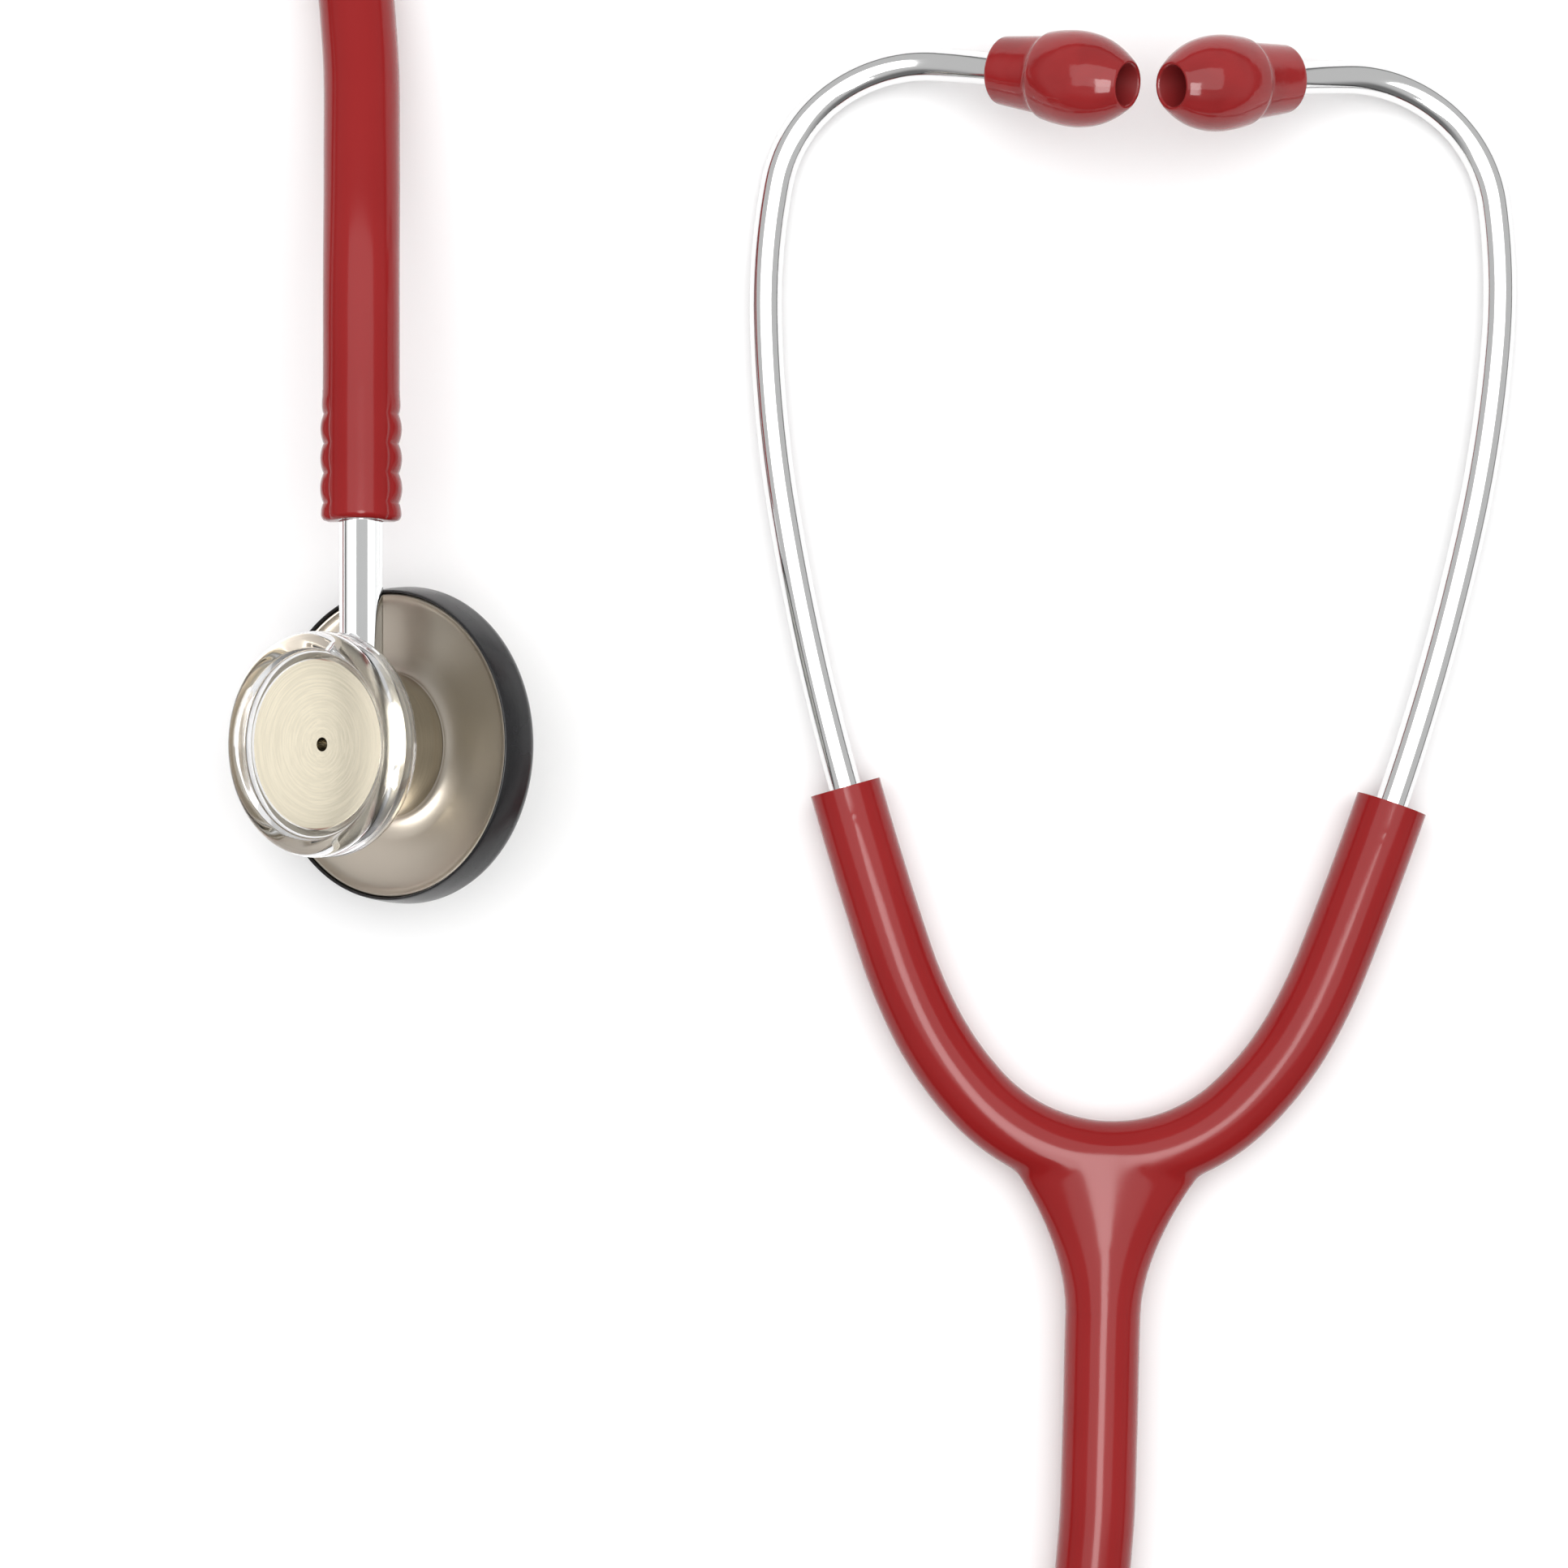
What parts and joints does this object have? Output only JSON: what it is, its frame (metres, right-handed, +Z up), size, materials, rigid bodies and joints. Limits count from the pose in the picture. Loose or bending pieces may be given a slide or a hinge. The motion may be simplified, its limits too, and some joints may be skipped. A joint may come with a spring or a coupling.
{
  "type": "stethoscope",
  "caption": "Dual-head acoustic stethoscope laid out with its tubing: swivelling chestpiece, bell and diaphragm, Y tube and sprung binaural headset.",
  "frame": {"origin": "on the table, under the middle of the chestpiece, stem and headset (the free tube left out)", "axes": "+Z up from the table; +Y from the yoke towards the ear tips, and along the chestpiece's stem towards the tube; +X from the chestpiece towards the headset"},
  "size_m": [0.2624, 0.3251, 0.0405],
  "materials": {
    "brushed_steel": "turned and circularly brushed",
    "chrome": "polished",
    "spring_steel": "plain",
    "red_tubing": "smooth, satin to glossy",
    "red_soft_plastic": "soft, glossy",
    "black_rubber": "satin",
    "clear_plastic": "clear, polished",
    "diaphragm_resin": "fine matt, translucent",
    "white_nylon": "moulded"
  },
  "bodies": {
    "tubing": {"free_tube": "red_tubing", "tube_grip_end": "red_tubing", "stem": "chrome", "stem_seal": "black_rubber", "stem_clip": "spring_steel", "yoke": "red_tubing", "leaf_spring": "spring_steel"},
    "chestpiece": {"hub": "brushed_steel", "diaphragm_housing": "brushed_steel", "rim_ring": "black_rubber", "bell_ring": "clear_plastic", "diaphragm": "diaphragm_resin", "detent_ball": "spring_steel", "detent_spring": "spring_steel", "detent_screw": "brushed_steel"},
    "left_binaural": {"left_ear_tube": "chrome", "left_tip_insert": "white_nylon", "left_ear_tip": "red_soft_plastic"},
    "right_binaural": {"right_ear_tube": "chrome", "right_tip_insert": "white_nylon", "right_ear_tip": "red_soft_plastic"}
  },
  "joints": [
    {"name": "chestpiece_swivel", "type": "hinge", "parent": "tubing", "child": "chestpiece", "pos_m": [-0.07445, -0.00999, 0.02246], "axis": [0, 1, 0], "continuous": true},
    {"name": "left_binaural_spread", "type": "hinge", "parent": "tubing", "child": "left_binaural", "pos_m": [0.0102, -0.05645, 0.00549], "axis": [0, 0, 1], "range_deg": [0, 24], "stiffness_Nm_per_rad": 2, "deforming": ["yoke", "leaf_spring"]},
    {"name": "right_binaural_spread", "type": "hinge", "parent": "tubing", "child": "right_binaural", "pos_m": [0.05726, -0.05789, 0.00549], "axis": [0, 0, -1], "range_deg": [0, 24], "stiffness_Nm_per_rad": 2, "deforming": ["yoke", "leaf_spring"]}
  ],
  "couplings": [
    {"joint": "right_binaural_spread", "follows": "left_binaural_spread", "ratio": 1}
  ]
}
